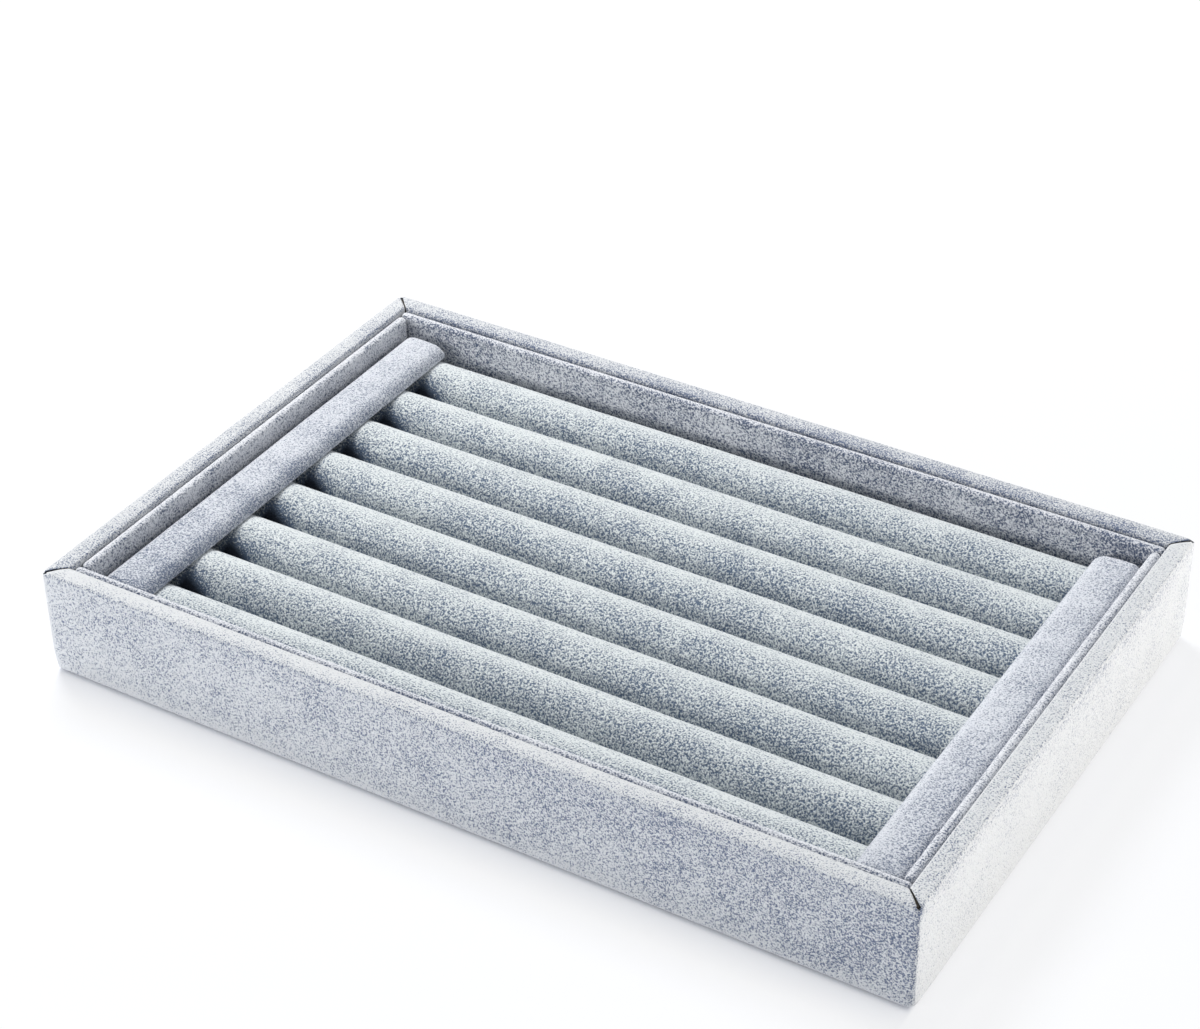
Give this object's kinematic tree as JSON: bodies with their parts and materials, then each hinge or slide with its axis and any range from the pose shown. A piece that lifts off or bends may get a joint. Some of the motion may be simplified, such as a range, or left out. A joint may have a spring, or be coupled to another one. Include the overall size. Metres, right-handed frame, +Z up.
{
  "type": "jewelry tray",
  "caption": "Rectangular velvet-covered jewelry tray with lined walls and a lift-out insert of padded rolls that grip rings, under padded bars at both ends.",
  "frame": {"origin": "middle of the underside, on the surface that the tray stands on", "axes": "+X along the rolls and the long side, +Y from the front wall to the back wall, +Z up"},
  "size_m": [0.23, 0.15, 0.029],
  "materials": {
    "velvet": "short-pile velvet",
    "fibreboard": "raw fibreboard",
    "greyboard": "raw grey card",
    "foam": "open-cell foam",
    "underside_paper": "flocked paper"
  },
  "bodies": {
    "tray": {"base_board": "fibreboard", "front_wall_board": "fibreboard", "back_wall_board": "fibreboard", "left_wall_board": "fibreboard", "right_wall_board": "fibreboard", "bottom_cover": "underside_paper", "floor_lining": "velvet", "front_liner_card": "greyboard", "back_liner_card": "greyboard", "left_liner_card": "greyboard", "right_liner_card": "greyboard", "outer_velvet": "velvet", "front_liner_velvet": "velvet", "back_liner_velvet": "velvet", "left_liner_velvet": "velvet", "right_liner_velvet": "velvet"},
    "ring_insert": {"insert_card": "greyboard", "roll_1_foam": "foam", "roll_2_foam": "foam", "roll_3_foam": "foam", "roll_4_foam": "foam", "roll_5_foam": "foam", "roll_6_foam": "foam", "roll_7_foam": "foam", "roll_8_foam": "foam", "roll_1_velvet": "velvet", "roll_2_velvet": "velvet", "roll_3_velvet": "velvet", "roll_4_velvet": "velvet", "roll_5_velvet": "velvet", "roll_6_velvet": "velvet", "roll_7_velvet": "velvet", "roll_8_velvet": "velvet", "left_bar_card": "greyboard", "right_bar_card": "greyboard", "left_bar_pad": "foam", "right_bar_pad": "foam", "left_bar_velvet": "velvet", "right_bar_velvet": "velvet"}
  },
  "joints": [
    {"name": "insert_lift", "type": "slide", "parent": "tray", "child": "ring_insert", "axis": [0, 0, 1], "range_m": [0, 0.04]}
  ]
}
